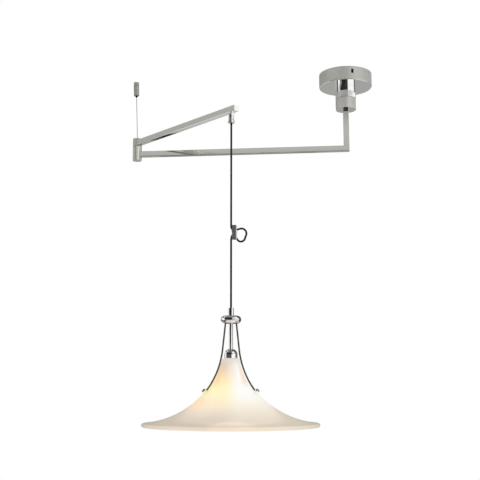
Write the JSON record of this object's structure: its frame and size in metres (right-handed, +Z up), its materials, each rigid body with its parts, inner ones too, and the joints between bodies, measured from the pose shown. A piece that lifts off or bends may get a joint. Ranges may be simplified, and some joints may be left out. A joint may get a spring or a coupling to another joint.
{
  "type": "swing arm pendant light",
  "caption": "Ceiling pendant light on a jointed swing arm that turns at the ceiling and at its elbow, with a wide bell-shaped opal glass shade on a cord.",
  "frame": {"origin": "middle of the ceiling face of the mounting strap, on the axis of the stem about which the fixed arm turns", "axes": "+Z up into the ceiling, +X to the picture's right, +Y away from the camera; the arms reach towards -X"},
  "size_m": [0.5547, 0.4376, 0.7855],
  "materials": {
    "satin_nickel": "fine satin nickel, nearly polished",
    "polished_chrome": "polished",
    "zinc_steel": "zinc plated",
    "black_screw": "black oxide",
    "brass": "plain",
    "grey_nylon": "matt",
    "clear_nylon": "matt, milky",
    "white_ceramic": "glazed",
    "black_cord": "round black sheathed cord",
    "black_rubber": "matt",
    "wire_rope": "fine stranded stainless wire",
    "spring_steel": "bright drawn wire",
    "opal_glass": "glossy opal glass, lit from inside",
    "lamp_glass": "clear",
    "lamp_wire": "plain wire pins",
    "lamp_light": "warm white, lit"
  },
  "bodies": {
    "ceiling": {"ceiling_strap": "zinc_steel", "canopy_cup": "satin_nickel", "canopy_screws": "black_screw", "fixed_sleeve": "polished_chrome", "spindle": "zinc_steel", "spindle_nut": "brass", "swivel_washer": "grey_nylon", "terminal_block": "white_ceramic", "terminal_screws": "brass", "feed_lead": "black_cord"},
    "main_arm": {"swivel_hub": "satin_nickel", "hub_plate": "zinc_steel", "drop_tube": "satin_nickel", "main_arm_tube": "satin_nickel", "lower_knuckle": "satin_nickel", "hinge_pin": "zinc_steel", "hinge_washer": "grey_nylon", "pin_ring": "zinc_steel", "arm_lead": "black_cord", "support_wire": "wire_rope", "wire_ball": "wire_rope", "ceiling_boss": "satin_nickel", "gripper_body": "satin_nickel", "gripper_jaws": "brass", "gripper_spring": "spring_steel"},
    "button": {"release_button": "black_screw"},
    "swing_arm": {"upper_knuckle": "satin_nickel", "knuckle_cap": "satin_nickel", "swing_arm_tube": "satin_nickel", "arm_tip_plug": "satin_nickel", "cord_gland": "satin_nickel", "gland_ring": "satin_nickel", "gland_screw": "black_screw", "gland_bush": "black_rubber", "swing_lead": "black_cord"},
    "hanging_cord": {"cord_upper": "black_cord", "cord_adjuster": "polished_chrome", "cord_loop": "black_cord"},
    "lower_cord": {"cord_lower": "black_cord"},
    "pendant": {"cord_nipple": "polished_chrome", "nipple_screw": "black_screw", "crown": "polished_chrome", "centre_tube": "polished_chrome", "shade_rod_left": "polished_chrome", "shade_rod_right": "polished_chrome", "shade_rod_back": "polished_chrome", "clip_barrels": "polished_chrome", "clip_screws": "polished_chrome", "clip_washers": "clear_nylon", "dome_cap": "polished_chrome", "holder_plate": "zinc_steel", "lampholder": "white_ceramic", "holder_screws": "zinc_steel", "pendant_lead": "black_cord", "neck_gasket": "clear_nylon", "glass_shade": "opal_glass", "lamp_bulb": "lamp_glass", "lamp_pins": "lamp_wire", "lamp_core": "lamp_light"}
  },
  "joints": [
    {"name": "base_swivel", "type": "hinge", "parent": "ceiling", "child": "main_arm", "pos_m": [0, 0, -0.0585], "axis": [0, 0, 1], "range_deg": [-170, 170]},
    {"name": "elbow", "type": "hinge", "parent": "main_arm", "child": "swing_arm", "pos_m": [-0.4832, 0.05207, -0.15235], "axis": [0, 0, 1], "range_deg": [-310, 38]},
    {"name": "button_press", "type": "slide", "parent": "main_arm", "child": "button", "axis": [-0.0395, 0.0043, 0.9992], "range_m": [0, 0.002], "stiffness_N_per_m": 300, "springref_m": -0.0015, "deforming": ["gripper_spring"]},
    {"name": "cord_swing", "type": "hinge", "parent": "swing_arm", "child": "hanging_cord", "pos_m": [-0.26079, -0.20244, -0.17545], "axis": [0, 1, 0], "range_deg": [-25, 25]},
    {"name": "pendant_height", "type": "slide", "parent": "hanging_cord", "child": "lower_cord", "axis": [0, 0, -1], "range_m": [0, 0.035], "deforming": ["cord_lower"]},
    {"name": "pendant_tilt", "type": "hinge", "parent": "lower_cord", "child": "pendant", "pos_m": [-0.26079, -0.20244, -0.55725], "axis": [1, 0, 0], "range_deg": [-20, 20]}
  ]
}
